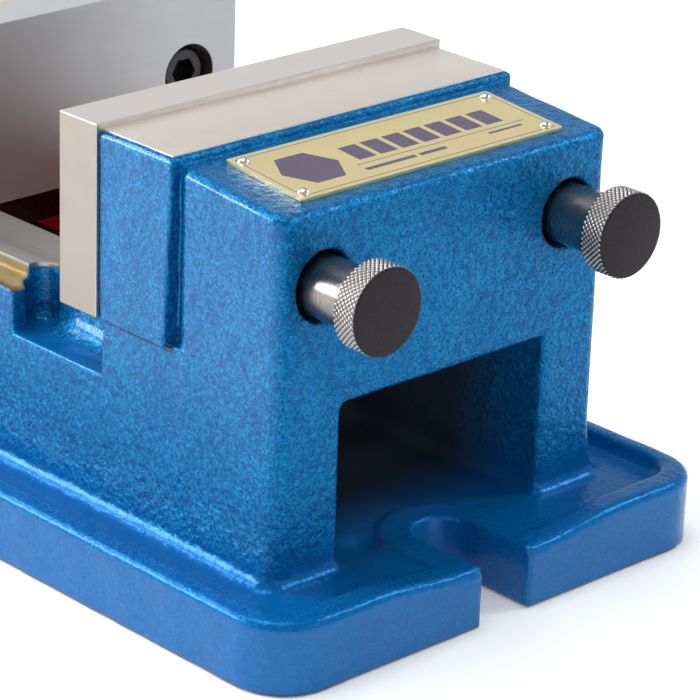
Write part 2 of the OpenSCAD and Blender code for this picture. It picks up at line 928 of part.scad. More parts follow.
body_casting();
fixed_jaw_plate();
draw_screw_left();
draw_screw_right();
draw_seal_left();
draw_seal_right();
nameplate();
nameplate_screws();
moving_jaw();
moving_jaw_plate();
jaw_plate_screws();
angular_nut();
half_ball();
jaw_set_screw();
keeper_left();
keeper_right();
keeper_screws();
oilers();
wiper_felts();
wiper_holders();
wiper_screws();
lead_screw();
stop_ring();
thrust_race_rear();
thrust_cage();
thrust_balls();
thrust_race_front();
screw_support();
support_screws();
support_bush();
lock_collar();
collar_set_screw();
drain_plugs();
crank_arm();
grip_spindle();
crank_grip();
grip_washer();
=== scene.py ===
import math

import bmesh
import bpy
import numpy as np
from mathutils import Matrix, Vector


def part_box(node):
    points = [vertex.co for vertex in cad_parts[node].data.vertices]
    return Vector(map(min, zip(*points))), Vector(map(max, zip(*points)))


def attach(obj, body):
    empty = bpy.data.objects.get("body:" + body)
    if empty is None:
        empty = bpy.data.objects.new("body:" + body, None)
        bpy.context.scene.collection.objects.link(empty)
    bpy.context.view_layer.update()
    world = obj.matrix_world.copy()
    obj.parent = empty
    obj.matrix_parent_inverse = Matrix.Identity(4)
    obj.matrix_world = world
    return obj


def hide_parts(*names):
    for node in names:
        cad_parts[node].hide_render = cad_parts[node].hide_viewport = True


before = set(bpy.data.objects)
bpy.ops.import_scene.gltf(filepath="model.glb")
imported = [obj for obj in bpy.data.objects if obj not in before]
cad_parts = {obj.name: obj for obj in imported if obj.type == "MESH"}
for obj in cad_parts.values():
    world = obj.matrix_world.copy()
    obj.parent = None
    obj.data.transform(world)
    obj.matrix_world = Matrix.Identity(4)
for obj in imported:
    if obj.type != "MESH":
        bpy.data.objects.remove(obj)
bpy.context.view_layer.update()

MM = 0.001
F32 = np.float32


def box_mm(node):
    """Lowest and highest corner of a CAD node, in millimetres."""
    low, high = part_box(node)
    return np.array(low) * 1000, np.array(high) * 1000


plate_lo, plate_hi = box_mm("fixed_jaw_plate")
moving_lo, moving_hi = box_mm("moving_jaw")

# Lengths in mm, from the middle of the base's underside; +y points to the fixed jaw's rear
GAP = 0.02
BASE_X, BASE_Y, PAD_Z = box_mm("body_casting")[1]
JAW_Y = plate_hi[1] + GAP
PLATE_Z = plate_lo[2]
FRONT_Y = box_mm("screw_support")[1][1] + GAP
REAR_Y = JAW_Y + 71.9
FLOOR_Z, RIM_Z, SLOT_RIM_Z = 17.0, 21.4, 18.2
HALF, SHOULDER = 61.9, 64.1
SHELF_Z, WAY_Z = 70.3, 74.5
WAY_IN, WAY_OUT, RAIL_Z = 31.3, 52.4, 58.0
TUNNEL, TUNNEL_Z = 39.1, 65.7
TOP_Y, TOP_Z, SLOPE = JAW_Y + 28.7, 126.5, math.radians(5)
POCKET_IN, POCKET_Z = 48.6, 56.8
HOLE_X, HOLE_Y, HOLE_R = 51.5, JAW_Y - 40.7, 5.2
SLOT_Y, SLOT_R = BASE_Y - 24.6, 9.25
KNOB_X, KNOB_Z, KNOB_R = 46.15, 101.2, 12.5

# ---------------------------------------------------------------- camera

LENS = 178.93
EYE = (0.6309, JAW_Y * MM + 0.6938, 0.4266)
a, e, r = (math.radians(k) for k in (136.29, 21.90, 1.84))  # azimuth, elevation, roll
forward = Vector((-math.sin(a) * math.cos(e), math.cos(a) * math.cos(e), -math.sin(e)))
right = Vector((math.cos(a), math.sin(a), 0))
up = right.cross(forward)
cam_x = right * math.cos(r) + up * math.sin(r)
cam_y = up * math.cos(r) - right * math.sin(r)
cam_data = bpy.data.cameras.new("camera")
cam_data.lens = LENS
cam_data.sensor_width = 36
cam_data.clip_start, cam_data.clip_end = 0.05, 20
cam = bpy.data.objects.new("camera", cam_data)
bpy.context.scene.collection.objects.link(cam)
cam.matrix_world = Matrix(
    [[cam_x[i], cam_y[i], -forward[i], EYE[i]] for i in range(3)] + [[0, 0, 0, 1]])
bpy.context.scene.camera = cam

# ---------------------------------------------------------------- distance fields, in mm


def length(*parts):
    return np.sqrt(sum(p * p for p in parts))


def pos(v):
    return np.maximum(v, 0)


def smooth(v, lo, hi):
    t = np.clip((v - lo) / (hi - lo), 0, 1)
    return t * t * (3 - 2 * t)


def join(p, q, fillet):
    """Both shapes, with a fillet where they meet."""
    return np.maximum(fillet, np.minimum(p, q)) - length(pos(fillet - p), pos(fillet - q))


def meet(p, q, edge):
    """What both shapes share, with a rounded edge."""
    return np.minimum(-edge, np.maximum(p, q)) + length(pos(edge + p), pos(edge + q))


def cut(p, q, edge):
    """Shape p less shape q, with a rounded edge."""
    return meet(p, -q, edge)


def rect(x, y, cx, cy, hx, hy, r):
    """Upright prism on a rounded rectangle, from its centre and half sizes."""
    qx, qy = np.abs(x - cx) - hx + r, np.abs(y - cy) - hy + r
    return np.minimum(np.maximum(qx, qy), 0) + length(pos(qx), pos(qy)) - r


def rbox(p, lo, hi, r):
    """Box with rounded edges between two corners."""
    q = [np.abs(p[i] - (lo[i] + hi[i]) / 2) - (hi[i] - lo[i]) / 2 + r for i in range(3)]
    inside = np.minimum(np.maximum(np.maximum(q[0], q[1]), q[2]), 0)
    return inside + length(pos(q[0]), pos(q[1]), pos(q[2])) - r


def surface_net(field, axes, steps=3):
    """Quads round the zero level of field(x, y, z) on a grid, each vertex moved onto it."""
    xs, ys, zs = (np.asarray(v, F32) for v in axes)
    f = field(xs[:, None, None], ys[None, :, None], zs[None, None, :])
    f = np.ascontiguousarray(np.broadcast_to(f, (len(xs), len(ys), len(zs))))
    s = f < 0
    corners = [(i, j, k) for i in (0, 1) for j in (0, 1) for k in (0, 1)]
    n = [d - 1 for d in f.shape]
    count = sum(
        s[i : n[0] + i, j : n[1] + j, k : n[2] + k].astype(np.uint8) for i, j, k in corners
    )
    cell = np.argwhere((count > 0) & (count < 8))
    values = np.stack([f[cell[:, 0] + i, cell[:, 1] + j, cell[:, 2] + k] for i, j, k in corners])
    places = np.stack(
        [
            np.stack([xs[cell[:, 0] + i], ys[cell[:, 1] + j], zs[cell[:, 2] + k]], 1)
            for i, j, k in corners
        ]
    )
    total, hits = np.zeros((len(cell), 3), F32), np.zeros(len(cell), F32)
    for p in range(8):
        for bit in (1, 2, 4):
            q = p | bit
            if q == p:
                continue
            crossing = (values[p] < 0) != (values[q] < 0)
            t = values[p] / np.where(crossing, values[p] - values[q], 1)
            total += np.where(
                crossing[:, None], places[p] + t[:, None] * (places[q] - places[p]), 0
            )
            hits += crossing
    v = total / hits[:, None]
    v0 = v.copy()
    spacing = np.stack(
        [xs[cell[:, 0] + 1] - xs[cell[:, 0]], ys[cell[:, 1] + 1] - ys[cell[:, 1]],
         zs[cell[:, 2] + 1] - zs[cell[:, 2]]], 1)
    for _ in range(steps):
        eps = F32(0.05)
        d = field(v[:, 0], v[:, 1], v[:, 2])
        g = np.stack(
            [
                field(v[:, 0] + eps * (i == 0), v[:, 1] + eps * (i == 1), v[:, 2] + eps * (i == 2))
                - d
                for i in range(3)
            ],
            1,
        ) / eps
        size = np.maximum((g * g).sum(1), 0.25)
        v = v - g * (np.clip(d, -1.5, 1.5) / size)[:, None] * 0.9
        v = np.clip(v, v0 - 0.6 * spacing, v0 + 0.6 * spacing).astype(F32)
    index = np.full(n, -1, np.int64)
    index[cell[:, 0], cell[:, 1], cell[:, 2]] = np.arange(len(cell))
    quads = []
    for axis in range(3):
        b, c = (axis + 1) % 3, (axis + 2) % 3
        low = [slice(None)] * 3
        high = [slice(None)] * 3
        low[axis], high[axis] = slice(0, -1), slice(1, None)
        edge = np.argwhere(s[tuple(low)] != s[tuple(high)])
        keep = (edge[:, b] > 0) & (edge[:, c] > 0)
        keep &= (edge[:, b] < n[b]) & (edge[:, c] < n[c])
        edge = edge[keep]
        inward = s[tuple(edge.T)]
        ring = []
        for db, dc in ((1, 1), (0, 1), (0, 0), (1, 0)):
            at = edge.copy()
            at[:, b] -= db
            at[:, c] -= dc
            ring.append(index[tuple(at.T)])
        quad = np.stack(ring, 1)
        quad[~inward] = quad[~inward][:, ::-1]
        quads.append(quad)
    return v, np.concatenate(quads)


def add_piece(name, mesh, body, material, sharp=None):
    """Object with smooth faces that rides on a body; sharp is in degrees."""
    mesh.polygons.foreach_set("use_smooth", [True] * len(mesh.polygons))
    if sharp is not None:
        mesh.set_sharp_from_angle(angle=math.radians(sharp))
    piece = bpy.data.objects.new(name, mesh)
    bpy.context.scene.collection.objects.link(piece)
    mesh.materials.append(material)
    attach(piece, body)
    return piece


def close_bmesh(name, bm):
    """Mesh from a bmesh, with its normals outwards."""
    mesh = bpy.data.meshes.new(name)
    bmesh.ops.recalc_face_normals(bm, faces=bm.faces)
    bm.to_mesh(mesh)
    bm.free()
    return mesh


def casting_mesh(name, verts_mm, quads):
    mesh = bpy.data.meshes.new(name)
    verts = np.asarray(verts_mm, np.float64) * MM
    mesh.vertices.add(len(verts))
    mesh.vertices.foreach_set("co", verts.astype(F32).ravel())
    mesh.loops.add(quads.size)
    mesh.loops.foreach_set("vertex_index", quads.astype(np.int32).ravel())
    mesh.polygons.add(len(quads))
    mesh.polygons.foreach_set("loop_start", np.arange(len(quads), dtype=np.int32) * 4)
    mesh.update(calc_edges=True)
    mesh.validate()
    return mesh


def lattice(*parts):
    """Grid positions: parts are (start, end, step) runs that follow each other."""
    out = []
    for start, end, step in parts:
        n = max(1, round((end - start) / step))
        out += [start + (end - start) * k / n for k in range(n)]
    return np.array(out + [parts[-1][1]], F32)


def swell(x, y, z, amount):
    """Slow unevenness of a sand-cast, painted surface."""
    w = np.sin(x * 0.21 + 1.3 * np.sin(y * 0.083 + z * 0.07)) * np.cos(z * 0.17 + y * 0.05)
    w = w + 0.6 * np.sin(y * 0.31 + 0.9 * np.cos(x * 0.12 - z * 0.19) + 0.4)
    w = w + 0.35 * np.sin(x * 0.53 - z * 0.61 + 1.1) * np.sin(y * 0.47 + z * 0.33)
    return amount * w


# ---------------------------------------------------------------- bed casting


def bed_field(x, y, z):
    # Base flange with its gutter
    rim = RIM_Z - (RIM_Z - SLOT_RIM_Z) * (1 - smooth(np.abs(x), 12, 48))
    flange = meet(rect(x, y, 0, 0, BASE_X, BASE_Y, 17), z - rim, 2.6)
    flange = meet(flange, -z, 0.7)
    gutter = meet(rect(x, y, 0, 0, BASE_X - 6.5, BASE_Y - 9, 10.5), FLOOR_Z - z, 3.0)
    flange = cut(flange, gutter, 1.8)
    # Walls that spread a little at their feet
    foot = 3 * np.clip((FLOOR_Z + 19 - z) / 19, 0, 1) ** 1.7
    mid, half_l = (FRONT_Y + REAR_Y) / 2, (REAR_Y - FRONT_Y) / 2
    low = meet(rect(x, y, 0, mid, HALF + foot, half_l, 4.5), z - SHELF_Z, 1.1)
    ledge = rect(x, y, 0, (JAW_Y - 20 + REAR_Y) / 2, HALF, (REAR_Y - JAW_Y + 20) / 2, 4.5)
    ledge = np.maximum(meet(ledge, z - PLATE_Z, 0.4), JAW_Y - y)
    low = np.minimum(low, ledge)
    # Rear block with its neck and sloping top
    wide = HALF - 3.4 * (1 - smooth(y, JAW_Y + 27.0, JAW_Y + 34.0))
    block = rect(x, y, 0, (JAW_Y + REAR_Y) / 2, wide, (REAR_Y - JAW_Y) / 2, 4.5)
    top = (z - TOP_Z + (y - TOP_Y) * math.tan(SLOPE)) * math.cos(SLOPE)
    block = meet(block, np.maximum(top, z - TOP_Z), 2.4)
    core = join(low, block, 0.05 + 1.55 * (1 - smooth(y, JAW_Y + 28, JAW_Y + 40)))
    # Shoulder behind the plate
    slant = (y - (JAW_Y + 27.7 + 2.9 * (z - PLATE_Z) / (PAD_Z - PLATE_Z))) * 0.998
    shoulder = meet(meet(np.abs(x) - SHOULDER, JAW_Y - y, 0.7), slant, 0.35)
    shoulder = meet(shoulder, z - PAD_Z + 0.35, 1.8)
    shoulder = meet(shoulder, PLATE_Z - 0.4 - z, 0.25)
    core = np.minimum(core, shoulder)
    # Thin crevice below the shoulder
    crevice = np.maximum(np.abs(z - PLATE_Z + 0.55) - 0.2, HALF - 0.9 - np.abs(x))
    core = np.maximum(core, -np.maximum(crevice, np.abs(y - JAW_Y - 14.5) - 15))
    # Way rails, and the web under the plate
    rails = rbox((x, y, z), (-WAY_OUT, FRONT_Y, 57), (WAY_OUT, JAW_Y + 4, WAY_Z - 1.2), 0.5)
    web = rbox((x, y, z), (-WAY_OUT, JAW_Y - 20, 0), (WAY_OUT, JAW_Y + 4, WAY_Z - 1.2), 0.5)
    core = np.minimum(core, np.minimum(rails, web))
    # Hollows below the ways, the tunnel to the rear, and the feet of both
    end, start = JAW_Y - 20, FRONT_Y - 40
    hollow = rect(x, y, 0, (start + end) / 2, TUNNEL, (end - start) / 2, 2.0)
    core = cut(core, np.maximum(hollow, z - RAIL_Z), 0.8)
    core = cut(core, rect(x, y, 0, (start + end) / 2, WAY_IN, (end - start) / 2, 1.0), 0.4)
    mouth_r = np.where(z < 40, 5.0, 2.6)
    tunnel = rect(x, z, 0, (TUNNEL_Z - 30) / 2, TUNNEL, (TUNNEL_Z + 30) / 2, mouth_r)
    tunnel = np.maximum(tunnel, JAW_Y - 21 - y)
    core = cut(core, tunnel, 1.5)
    # Draw screw mouths
    for s in (-1, 1):
        hole = length(x - s * KNOB_X, z - KNOB_Z) - 10.1
        core = cut(core, np.maximum(hole, REAR_Y - 34 - y), 0.6)
        # Run-out pocket beside the plate, with its drilled round end
        run = meet(POCKET_IN - s * x, POCKET_Z - z, 8.5)
        run = meet(run, np.abs(y - JAW_Y + 21.2) - 20.0, 1.6)
        drilled = meet(length(s * x - HOLE_X, y - HOLE_Y) - HOLE_R, POCKET_Z - z, 2.2)
        pocket = join(run, drilled, 1.0)
        core = cut(core, np.maximum(pocket, z - WAY_Z - 0.1), 0.6)
    part = join(flange, core, 4.0)
    # Smoother flat round the bolt slots, and a shallow sand mark beside the rear one
    bolt = length(x, pos(SLOT_Y - np.abs(y)))
    boss = meet(bolt - 19, z - FLOOR_Z - 0.9, 0.8)
    boss = np.maximum(np.maximum(boss, rect(x, y, 0, 0, BASE_X, BASE_Y - 1, 17)), 2 - z)
    part = join(part, boss, 1.2)
    dip = length((x - 22) / 1.5, (y - SLOT_Y + 10.5) / 1.6, (z - FLOOR_Z - 2.2) / 1.0) - 4.2
    part = cut(part, dip, 1.0)
    part = part + swell(x, y, z, 0.09)
    part = cut(part, np.maximum(bolt - SLOT_R, z - 40), 0.55)
    # Machined underside with its keyways
    part = meet(part, -z, 0.4)
    for s in (-1, 1):
        key = rbox((x, y, z), (-8, s * 140 - 16, -9), (8, s * 140 + 16, 5), 0.3)
        cross = rbox((x, y, z), (s * 46 - 16, 64, -9), (s * 46 + 16, 80, 5), 0.3)
        part = cut(part, np.minimum(key, cross), 0.3)
        for kx, ky in ((0, s * 140), (s * 46, 72)):
            part = cut(part, np.maximum(length(x - kx, y - ky) - 3, z - 12), 0.2)
        part = cut(part, length(x - s * 70, y + BASE_Y - 30) - 5.05, 0.3)
    return part


def make_bed():
    xs = lattice((-BASE_X - 2, -66, 1.2), (-66, -56, 0.7), (-56, -44, 1.0), (-44, 44, 1.35),
                 (44, 56, 1.0), (56, 66, 0.7), (66, BASE_X + 2, 1.2))
    ys = lattice((-BASE_Y - 3, JAW_Y - 48, 2.6), (JAW_Y - 48, JAW_Y + 44, 0.95),
                 (JAW_Y + 44, BASE_Y + 3, 1.15))
    zs = lattice((-2, 72.6, 1.15), (72.6, 75.4, 0.28), (75.4, PAD_Z + 2, 1.15))
    return surface_net(bed_field, (xs, ys, zs))


# ---------------------------------------------------------------- moving jaw


def moving_field(x, y, z):
    front, back = moving_lo[1], moving_hi[1]

    def plane(y0, z0, y1, z1):
        size = math.hypot(y1 - y0, z1 - z0)
        return ((z - z0) * (y1 - y0) - (y - y0) * (z1 - z0)) / size

    step = np.maximum(z - PAD_Z + 0.35, back - 28.7 - y)
    roof = meet(plane(front + 14, 108, back - 28.7, TOP_Z), plane(front, 96, front + 14, 108), 4)
    roof = meet(roof, front - y, 3)
    roof = meet(np.minimum(roof, step), z - PAD_Z + 0.35, 1.0)
    jaw = np.maximum(meet(roof, np.abs(x) - HALF, 2.6), y - back)
    jaw = meet(jaw, WAY_Z + 0.06 - z, 0.4)
    jaw = join(jaw, rbox((x, y, z), (-31.2, front + 4, 57.6), (31.2, back - 1, 78), 0.6), 0.4)
    for s in (-1, 1):
        skirt = rbox((x, y, z), (s * 57.3 - 4.6, front, 70.7), (s * 57.3 + 4.6, back, 78), 0.8)
        jaw = np.minimum(jaw, skirt)
    jaw = jaw + swell(x, y, z, 0.08) * smooth(z, 76, 80)
    jaw = cut(jaw, rbox((x, y, z), (-17, back - 61.4, 40), (17, back - 9, 93), 1.0), 0.6)
    jaw = cut(jaw, rbox((x, y, z), (-20, front - 9, 40), (20, back - 55, 64), 1.0), 0.6)
    jaw = cut(jaw, np.maximum(length(x, z - 78) - 5.1, y - back + 50), 0.5)
    return jaw


def make_moving():
    xs = lattice((-64, 64, 1.6))
    ys = lattice((moving_lo[1] - 2, moving_hi[1] + 1.2, 1.6))
    zs = lattice((56, PAD_Z + 2, 1.5))
    return surface_net(moving_field, (xs, ys, zs))


# ---------------------------------------------------------------- materials


class Nodes:
    """Small helper that wires shader nodes."""

    def __init__(self, name):
        self.material = bpy.data.materials.new(name)
        self.material.use_nodes = True
        self.tree = self.material.node_tree
        self.shader = self.tree.nodes["Principled BSDF"]
        self.place = self.add("ShaderNodeTexCoord").outputs["Object"]

    def add(self, kind, **settings):
        node = self.tree.nodes.new(kind)
        for key, value in settings.items():
            setattr(node, key, value)
        return node

    def link(self, source, socket):
        if isinstance(source, bpy.types.NodeSocket):
            self.tree.links.new(source, socket)
        else:
            socket.default_value = source

    def math(self, kind, p, q=0.0, clamp=False):
        node = self.add("ShaderNodeMath", operation=kind, use_clamp=clamp)
        self.link(p, node.inputs[0])
        self.link(q, node.inputs[1])
        return node.outputs[0]

    def span(self, value, lo, hi, out_lo=0.0, out_hi=1.0):
        """Smooth step from out_lo at lo to out_hi at hi."""
        node = self.add("ShaderNodeMapRange", interpolation_type="SMOOTHSTEP")
        for socket, v in zip(node.inputs, (value, lo, hi, out_lo, out_hi)):
            self.link(v, socket)
        return node.outputs[0]

    def noise(self, scale, detail=3.0, stretch=(1, 1, 1), rough=0.5, warp=0.0, shift=(0, 0, 0)):
        at = self.add("ShaderNodeMapping")
        self.link(self.place, at.inputs["Vector"])
        at.inputs["Scale"].default_value = stretch
        at.inputs["Location"].default_value = shift
        node = self.add("ShaderNodeTexNoise")
        self.link(at.outputs[0], node.inputs["Vector"])
        node.inputs["Scale"].default_value = scale
        node.inputs["Detail"].default_value = detail
        node.inputs["Roughness"].default_value = rough
        node.inputs["Distortion"].default_value = warp
        return node.outputs["Fac"]

    def cells(self, scale, soft):
        node = self.add("ShaderNodeTexVoronoi", feature="SMOOTH_F1")
        self.link(self.place, node.inputs["Vector"])
        node.inputs["Scale"].default_value = scale
        node.inputs["Smoothness"].default_value = soft
        return node.outputs["Distance"]

    def mix(self, factor, p, q):
        node = self.add("ShaderNodeMix", data_type="RGBA")
        self.link(factor, node.inputs[0])
        for v, socket in ((p, node.inputs[6]), (q, node.inputs[7])):
            self.link(v if isinstance(v, bpy.types.NodeSocket) else (*v, 1), socket)
        return node.outputs[2]

    def blend(self, factor, p, q):
        node = self.add("ShaderNodeMix", data_type="FLOAT")
        self.link(factor, node.inputs[0])
        self.link(p, node.inputs[2])
        self.link(q, node.inputs[3])
        return node.outputs[0]

    def axes(self):
        node = self.add("ShaderNodeSeparateXYZ")
        self.link(self.place, node.inputs[0])
        return node.outputs

    def facing(self):
        node = self.add("ShaderNodeSeparateXYZ")
        self.link(self.add("ShaderNodeNewGeometry").outputs["True Normal"], node.inputs[0])
        return node.outputs

    def edges(self, lo, hi):
        """1 on the convex edges of a dense mesh."""
        out = self.add("ShaderNodeNewGeometry").outputs["Pointiness"]
        return self.span(out, lo, hi)

    def bump(self, *layers):
        """layers: (height, strength, distance in metres)"""
        normal = None
        for height, strength, distance in layers:
            node = self.add("ShaderNodeBump")
            self.link(strength, node.inputs["Strength"])
            node.inputs["Distance"].default_value = distance
            self.link(height, node.inputs["Height"])
            if normal is not None:
                self.link(normal, node.inputs["Normal"])
            normal = node.outputs[0]
        self.link(normal, self.shader.inputs["Normal"])

    def set(self, **values):
        for key, value in values.items():
            socket = self.shader.inputs[key.replace("_", " ")]
            if isinstance(value, tuple):
                value = (*value, 1) if len(value) == 3 else value
            self.link(value, socket)
        return self.material


def enamel(name, bed=False, carriage=False):
    """Blue hammered paint, with the unpainted and primed areas of the bed, and painted shade in
    the bed's tunnel and under the moving jaw.
    """
    n = Nodes(name)
    x, y, z = n.axes()
    fx, fy, fz = n.facing()
    grit = n.noise(2100, 1.0, rough=0.5)
    fine = n.noise(1250, 2.0, rough=0.65)
    pebble = n.cells(560, 0.7)
    lumps = n.noise(330, 2.0, rough=0.5, warp=0.4)
    wide = n.noise(75, 3.0)
    slow = n.noise(22, 2.0)
    # Smoother, darker paint low down, in the gutter and round the feet
    low = n.span(n.math("ADD", z, n.math("MULTIPLY", slow, 0.012)), 0.036, 0.024)
    if bed:
        # Painted shade: the shaded floor of the run-out pockets gets the same darker, smoother
        # paint
        pocket_floor_shade = n.math("MULTIPLY", n.span(z, (POCKET_Z + 0.8) * MM, (POCKET_Z + 0.4) * MM),
                      n.span(fz, 0.80, 0.95))
        pocket_floor_shade = n.math("MULTIPLY", pocket_floor_shade,
                      n.span(z, (POCKET_Z - 0.8) * MM, (POCKET_Z - 0.4) * MM))
        low = n.math("MAXIMUM", low, pocket_floor_shade)
    base = n.mix(n.span(wide, 0.35, 0.68), (0.0012, 0.140, 0.350), (0.0022, 0.172, 0.405))
    base = n.mix(n.math("MULTIPLY", n.span(fine, 0.52, 0.38), 0.85), base, (0.0005, 0.060, 0.215))
    # Painted glints: lighter blue flecks stand for the lamps' glints on the pebbled paint, partly
    # hammertone flakes
    flakes_and_glints = n.math("MULTIPLY", n.span(grit, 0.50, 0.66), n.span(fine, 0.45, 0.62))
    base = n.mix(n.math("MULTIPLY", flakes_and_glints, 0.65), base, (0.016, 0.33, 0.65))
    base = n.mix(n.math("MULTIPLY", n.span(pebble, 0.42, 0.72), 0.55), base,
                 (0.001, 0.068, 0.235))
    base = n.mix(n.math("MULTIPLY", low, 0.7), base, (0.0015, 0.110, 0.360))
    # Lighter blue on convex edges: partly worn paint, partly a painted highlight along the rounded
    # edges
    worn_and_lit_edges = n.math("MULTIPLY", n.edges(0.54, 0.66), n.span(fine, 0.40, 0.6))
    base = n.mix(n.math("MULTIPLY", worn_and_lit_edges, 0.5), base, (0.14, 0.44, 0.72))
    upright = n.span(n.math("ABSOLUTE", fz), 0.25, 0.10)
    sheen = n.math("MULTIPLY", n.span(n.math("ABSOLUTE", fx), 0.5, 0.9),
                   n.span(z, 0.040, 0.085, 0.08, 0.40))
    coat = n.math("MULTIPLY", n.span(grit, 0.56, 0.70), n.blend(low, 0.30, 0.05))
    coat = n.math("ADD", coat, sheen)
    coat = n.math("ADD", coat, n.math("MULTIPLY", n.math("MULTIPLY", low, upright), 0.40))
    coat = n.math("ADD", coat, n.math("MULTIPLY", worn_and_lit_edges, 0.2), clamp=True)
    gloss = n.blend(n.span(fine, 0.3, 0.75), 0.22, 0.40)
    gloss = n.blend(low, gloss, 0.26)
    strength = n.blend(low, 1.0, 0.35)
    metal = n.blend(low, 0.45, 0.28)
    if bed:
        # Inside: red primer in the slot between the ways, and painted shade of near-black colour
        # down the tunnel
        inner = n.span(n.math("ABSOLUTE", x), (TUNNEL + 1.1) * MM, (TUNNEL + 0.1) * MM)
        front = n.math("MULTIPLY", n.span(y, (JAW_Y - 18.5) * MM, (JAW_Y - 20.5) * MM),
                       n.span(y, (FRONT_Y + 1) * MM, (FRONT_Y + 2) * MM))
        red = n.mix(n.span(wide, 0.3, 0.7), (0.62, 0.024, 0.014), (0.85, 0.050, 0.026))
        primer = n.math("MULTIPLY", inner, front)
        base = n.mix(primer, base, red)
        metal = n.blend(primer, metal, 0.0)
        inner = n.math("MULTIPLY", inner,
                       n.span(y, (JAW_Y - 20.5) * MM, (JAW_Y - 18.5) * MM))
        # Painted light: lighter blue on the tunnel floor inside its mouth, where shade falls
        rear = n.math("MULTIPLY", inner, n.span(y, (REAR_Y + 1) * MM, (REAR_Y - 12) * MM))
        base = n.mix(n.math("MULTIPLY", n.math("MULTIPLY", rear, low), 0.7), base,
                     (0.003, 0.150, 0.47))
        gloss = n.blend(rear, gloss, 0.5)
        # Painted shade: near-black, rough and without metal, darker the deeper into the tunnel
        tunnel_shade = n.math("MULTIPLY", n.span(y, (REAR_Y - 6) * MM, (REAR_Y - 40) * MM),
                      n.span(z, (TUNNEL_Z + 1.1) * MM, (TUNNEL_Z + 0.5) * MM))
        tunnel_shade = n.math("MULTIPLY", n.math("MULTIPLY", tunnel_shade, inner),
                      n.math("SUBTRACT", 1.0, front))
        base = n.mix(tunnel_shade, base, (0.030, 0.045, 0.070))
        metal = n.blend(tunnel_shade, metal, 0.0)
        gloss = n.blend(tunnel_shade, gloss, 0.75)
        # Painted shadow: a dark band on the wall just under the shoulder's overhang
        shoulder_shadow = n.math("MULTIPLY", n.span(z, (PLATE_Z - 2.2) * MM, (PLATE_Z - 1.9) * MM),
                       n.span(z, (PLATE_Z - 0.15) * MM, (PLATE_Z - 0.3) * MM))
        shoulder_shadow = n.math("MULTIPLY", shoulder_shadow, n.span(n.math("ABSOLUTE", x), (HALF - 0.7) * MM,
                                                 (HALF - 0.3) * MM))
        shoulder_shadow = n.math("MULTIPLY", shoulder_shadow, n.span(y, (JAW_Y + 30) * MM, (JAW_Y + 28) * MM))
        base = n.mix(n.math("MULTIPLY", shoulder_shadow, 0.8), base, (0.001, 0.020, 0.060))
        bare = bare_shelf(n, x, y, z, wide)
        lines = n.noise(300, 3.0, stretch=(1, 12, 1))
        stain = n.mix(n.span(wide, 0.40, 0.62), (0.30, 0.215, 0.070), (0.33, 0.27, 0.175))
        # Painted shade: darker brown towards the shelf's rounded outer edge
        stain = n.mix(n.span(n.math("ADD", n.math("ABSOLUTE", x),
                                    n.math("MULTIPLY", slow, 0.004)), 0.0600, 0.0628),
                      stain, (0.075, 0.038, 0.025))
        stain = n.mix(n.math("MULTIPLY", n.span(lines, 0.35, 0.7), 0.3), stain,
                      (0.17, 0.13, 0.085))
        base = n.mix(bare, base, stain)
        gloss = n.blend(bare, gloss, 0.42)
        metal = n.blend(bare, metal, 0.25)
        strength = n.blend(bare, strength, 0.05)
        coat = n.math("MULTIPLY", coat, n.math("SUBTRACT", 1.0, n.math("MAXIMUM", bare, tunnel_shade)))
    if carriage:
        # Painted shade: near-black on the parts of the moving jaw that run inside the bed, below
        # the ways
        underside_shade = n.span(z, (WAY_Z + 0.1) * MM, (WAY_Z - 0.4) * MM)
        base = n.mix(underside_shade, base, n.mix(wide, (0.016, 0.006, 0.006), (0.034, 0.012, 0.010)))
        coat = n.math("MULTIPLY", coat, n.math("SUBTRACT", 1.0, underside_shade))
    n.bump((wide, 0.35, 0.0010), (lumps, strength, 0.0004), (pebble, strength, 0.0003),
           (fine, strength, 0.00022))
    return n.set(Base_Color=base, Roughness=gloss, Metallic=metal, Coat_Weight=coat,
                 Coat_Roughness=0.10, Specular_IOR_Level=0.08)


def bare_shelf(n, x, y, z, wide):
    """The milled shelf outside the ways and the milled underside."""
    edge = n.math("MULTIPLY", n.math("SUBTRACT", wide, 0.5), 0.0030)
    top = n.span(n.math("ADD", z, edge), (SHELF_Z - 1.3) * MM, (SHELF_Z - 0.7) * MM)
    top = n.math("MULTIPLY", top, n.span(y, (JAW_Y - 40) * MM, (JAW_Y - 41) * MM))
    run = [n.math("SUBTRACT", n.math("ABSOLUTE", x), HOLE_X * MM),
           n.math("SUBTRACT", y, HOLE_Y * MM)]
    reach = n.math("SQRT", n.math("ADD", *(n.math("MULTIPLY", v, v) for v in run)))
    top = n.math("MULTIPLY", top, n.span(reach, (HOLE_R + 0.2) * MM, (HOLE_R + 0.6) * MM))
    under = n.span(z, 0.0006, 0.0003)
    return n.math("MAXIMUM", top, under)


